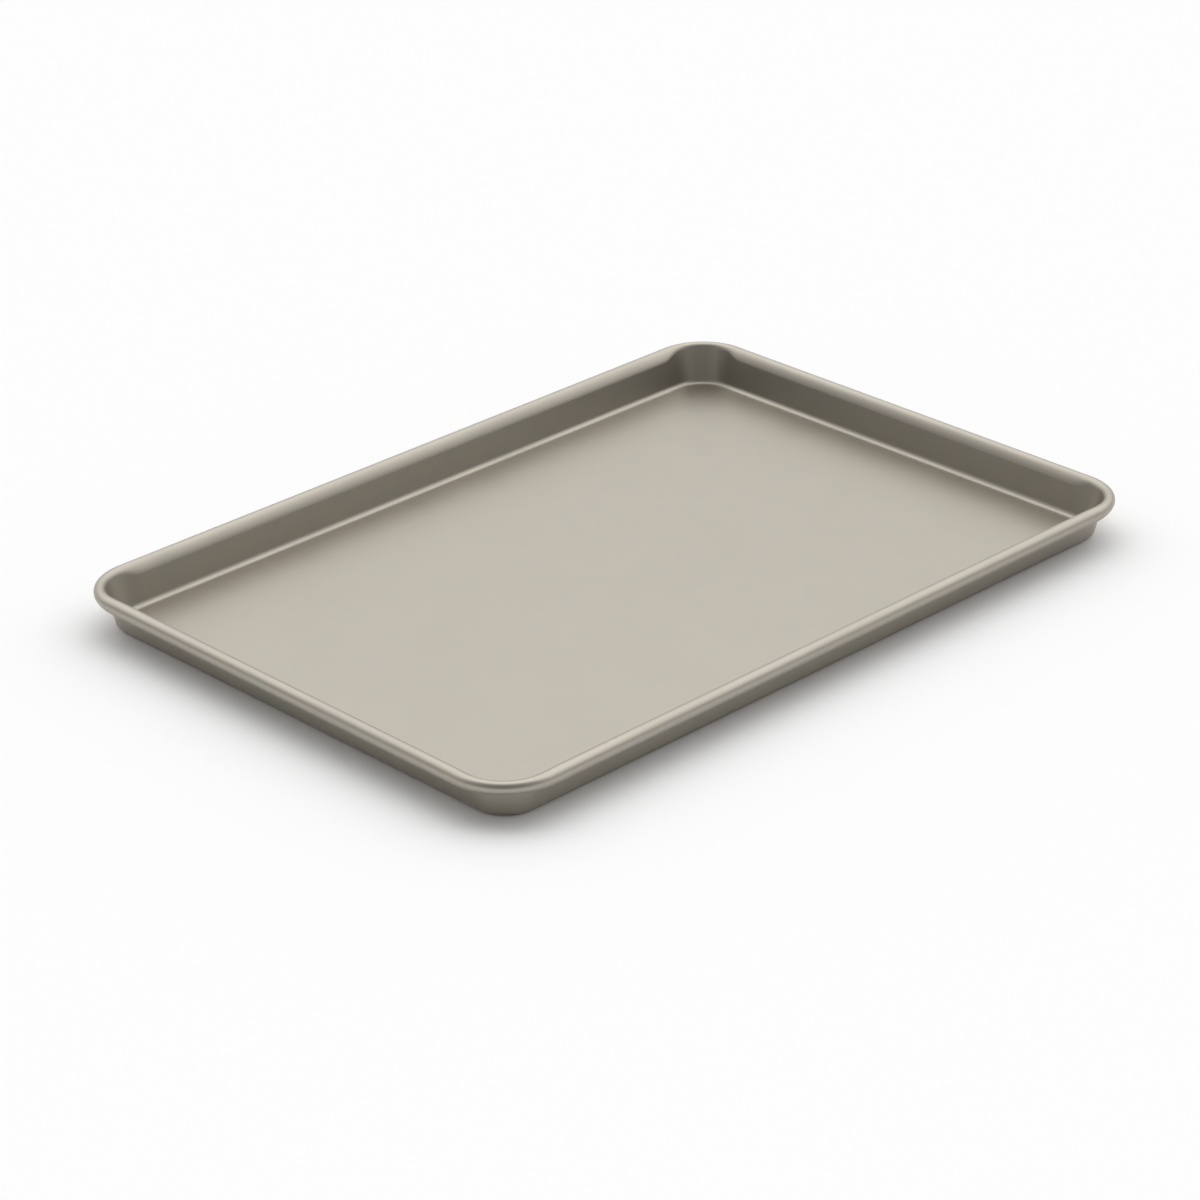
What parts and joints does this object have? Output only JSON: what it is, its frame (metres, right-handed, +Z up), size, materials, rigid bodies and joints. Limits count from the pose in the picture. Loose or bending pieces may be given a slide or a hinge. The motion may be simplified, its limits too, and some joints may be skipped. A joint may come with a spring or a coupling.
{
  "type": "jelly roll pan",
  "caption": "Shallow rectangular coated-steel baking pan with flared walls, rounded corners and a rolled, wire-stiffened rim.",
  "frame": {"origin": "centre of the underside of the base, level with the surface that the pan stands on", "axes": "+X along the long side, +Y along the short side, +Z up out of the open pan"},
  "size_m": [0.432, 0.304, 0.022],
  "materials": {
    "nonstick_coated_steel": "satin champagne non-stick coating, faintly metallic, on pressed carbon steel",
    "galvanised_wire": "drawn steel wire with a dull zinc coat"
  },
  "bodies": {
    "root": {"pan_body": "nonstick_coated_steel", "rim_wire": "galvanised_wire"}
  },
  "joints": []
}
